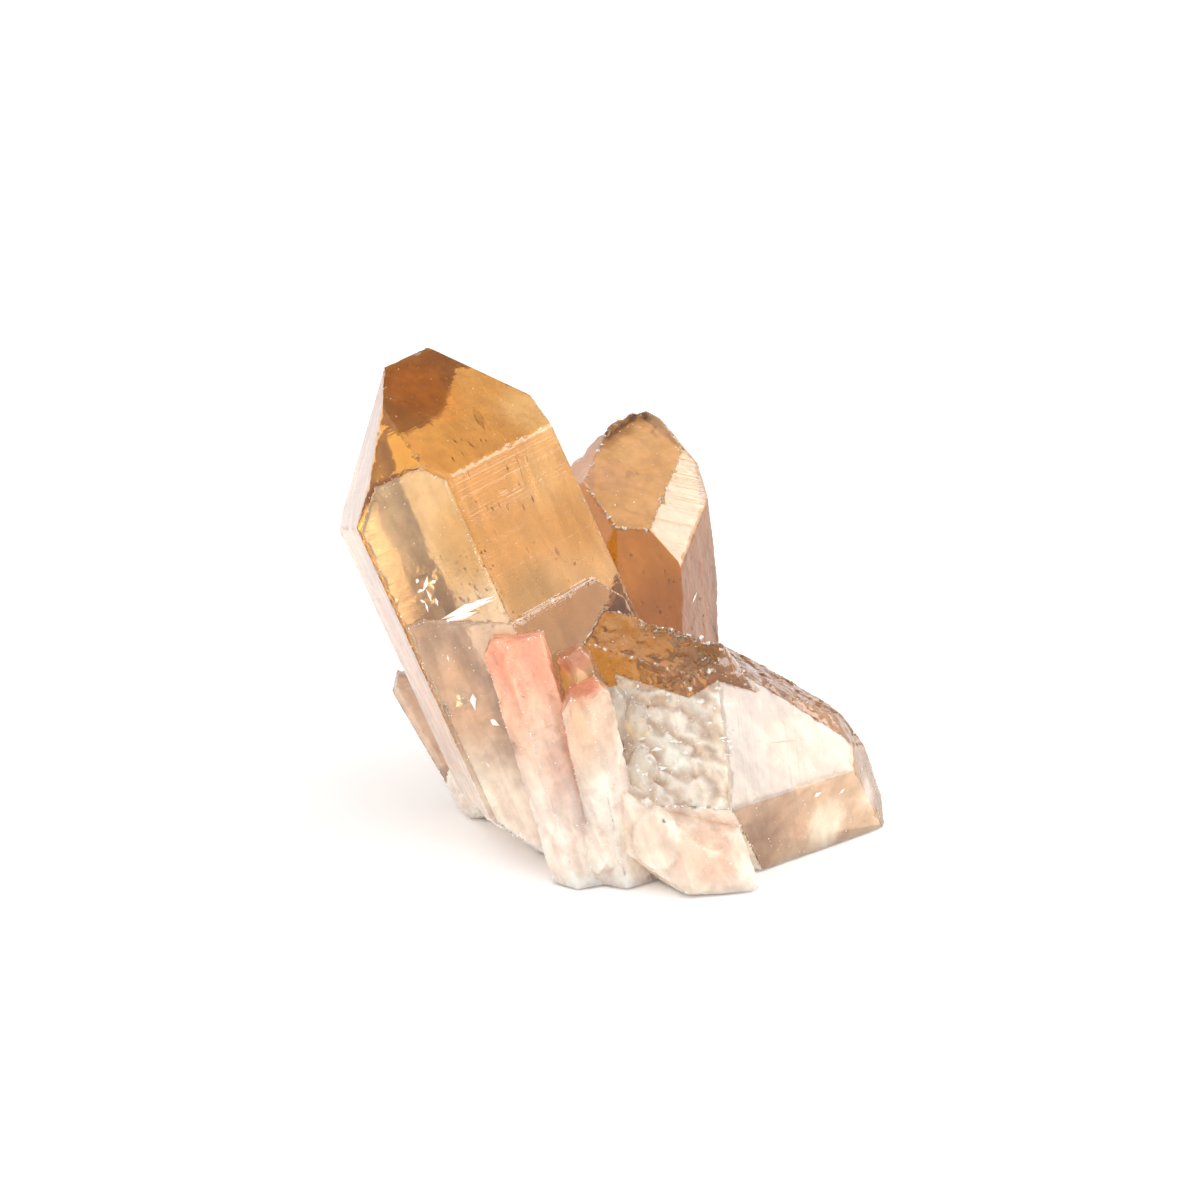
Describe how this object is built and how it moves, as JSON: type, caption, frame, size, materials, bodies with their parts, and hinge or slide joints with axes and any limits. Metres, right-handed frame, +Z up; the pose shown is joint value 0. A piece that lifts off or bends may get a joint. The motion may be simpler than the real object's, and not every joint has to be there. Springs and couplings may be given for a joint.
{
  "type": "citrine specimen",
  "caption": "Small natural cluster of clear amber quartz crystals, grown together on a pale pinkish milky root, resting on a flat underside.",
  "frame": {"origin": "middle of the outline, on the flat underside that the specimen rests on", "axes": "+Z up, +X along the longest extent towards the lying crystal, -Y towards the front with the broad faces"},
  "size_m": [0.0595, 0.0544, 0.0503],
  "materials": {
    "citrine": "clear amber crystal, milky and pinkish towards the root"
  },
  "bodies": {
    "root": {"citrine_cluster": "citrine"}
  },
  "joints": []
}
